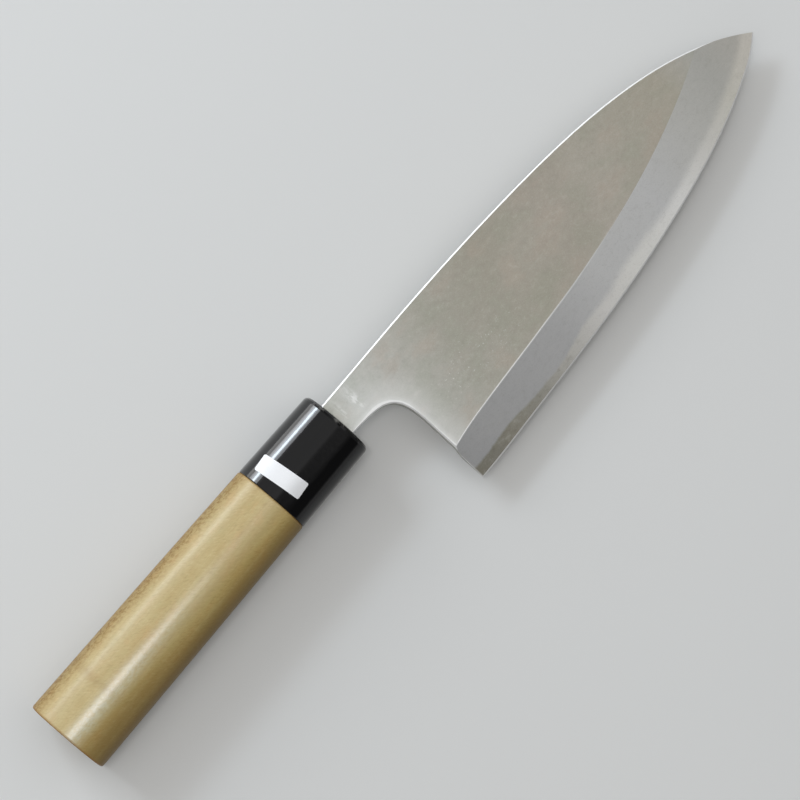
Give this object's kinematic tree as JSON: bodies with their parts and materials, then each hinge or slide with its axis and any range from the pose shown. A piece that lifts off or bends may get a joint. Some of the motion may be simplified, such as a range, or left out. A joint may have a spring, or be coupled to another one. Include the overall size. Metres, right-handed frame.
{
  "type": "deba knife",
  "caption": "Single-bevel fish knife: thick laminated blade with a hollow back, soft-ridged wooden handle, dark horn ferrule and a blank label.",
  "frame": {"origin": "middle of the whole knife in plan, on the surface that the handle's underside would meet when the blade lies level", "axes": "+X from the butt to the tip along the handle's axis, +Y towards the spine, -Y towards the edge, +Z towards the bevelled side; the flat back of the blade faces -Z"},
  "size_m": [0.3104, 0.0604, 0.0238],
  "materials": {
    "soft_iron": "satin, finely brushed",
    "hard_steel": "ground and lightly polished",
    "ho_wood": "smooth, unvarnished",
    "dark_horn": "polished",
    "mouth_resin": "dull",
    "label_paper": "smooth, blank"
  },
  "bodies": {
    "root": {"blade_iron": "soft_iron", "edge_steel": "hard_steel", "handle": "ho_wood", "horn_ferrule": "dark_horn", "mouth_seal": "mouth_resin", "ferrule_label": "label_paper"}
  },
  "joints": []
}
